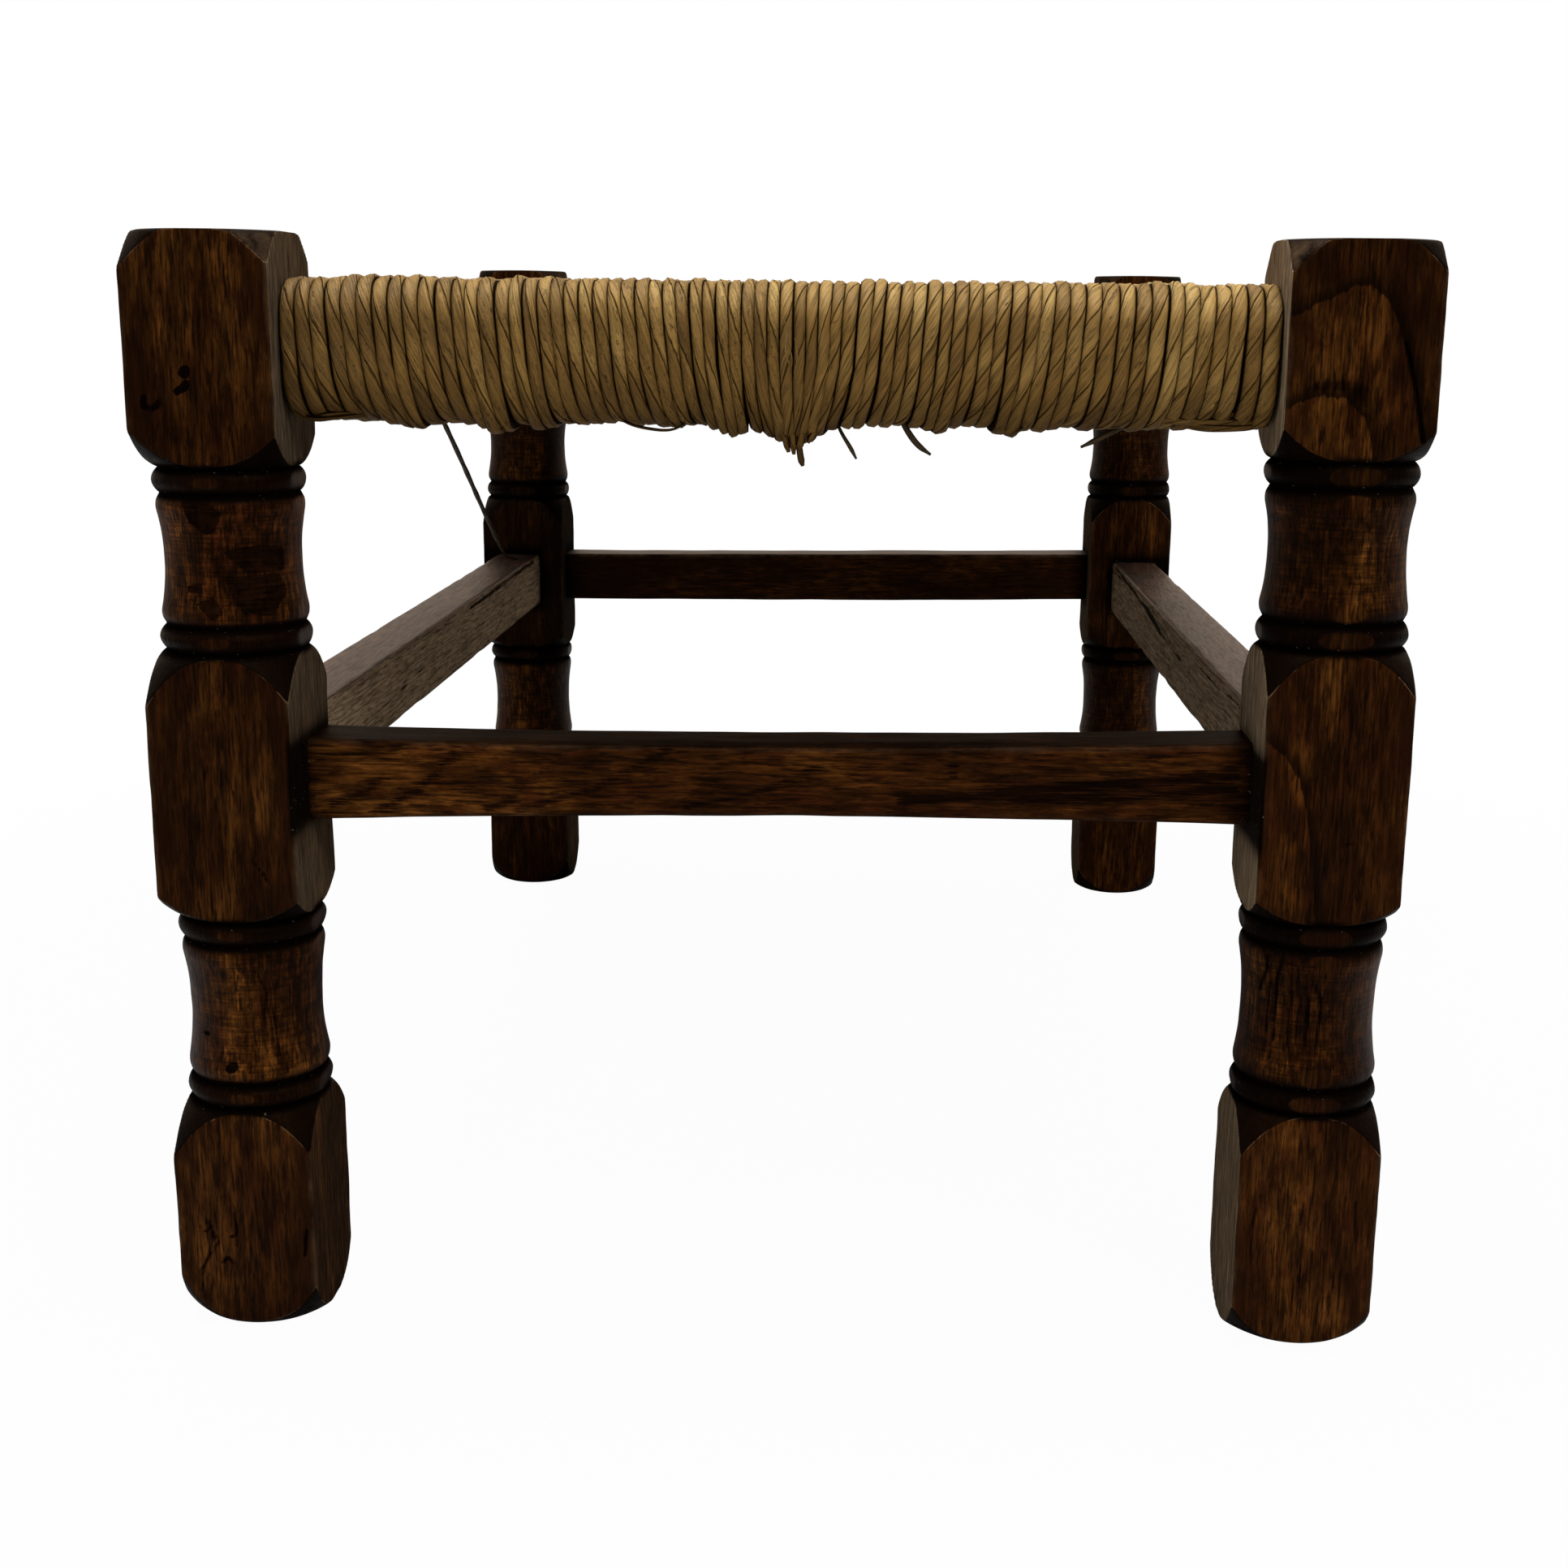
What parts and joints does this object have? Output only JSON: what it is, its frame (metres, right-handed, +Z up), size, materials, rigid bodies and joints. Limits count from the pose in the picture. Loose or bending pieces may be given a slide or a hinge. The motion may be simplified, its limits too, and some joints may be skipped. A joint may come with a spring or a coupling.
{
  "type": "rush-seated stool",
  "caption": "Oblong oak country stool: block-and-turned legs, plain stretchers and a twisted-rush seat wound over hidden rails.",
  "frame": {"origin": "on the floor under the middle of the stool", "axes": "+X to the right seen from the pictured short end, +Y along the stool away from it, +Z up"},
  "size_m": [0.389, 0.588, 0.352],
  "materials": {
    "leg_oak": "dark stained oak, worn and waxed",
    "stretcher_oak": "dark stained oak, rubbed on the edges",
    "rail_oak": "plain unstained oak",
    "rush": "twisted dry rush, satin",
    "rush_stuffing": "packed rush scraps"
  },
  "bodies": {
    "root": {"front_left_leg": "leg_oak", "front_right_leg": "leg_oak", "back_left_leg": "leg_oak", "back_right_leg": "leg_oak", "front_stretcher": "stretcher_oak", "right_stretcher": "stretcher_oak", "back_stretcher": "stretcher_oak", "left_stretcher": "stretcher_oak", "front_seat_rail": "rail_oak", "right_seat_rail": "rail_oak", "back_seat_rail": "rail_oak", "left_seat_rail": "rail_oak", "front_rush": "rush", "right_rush": "rush", "back_rush": "rush", "left_rush": "rush", "front_stuffing": "rush_stuffing", "right_stuffing": "rush_stuffing", "back_stuffing": "rush_stuffing", "left_stuffing": "rush_stuffing", "tied_rush_knot": "rush", "short_loose_end": "rush", "curved_loose_end": "rush", "tied_loose_end": "rush", "stray_stalk": "rush"}
  },
  "joints": []
}
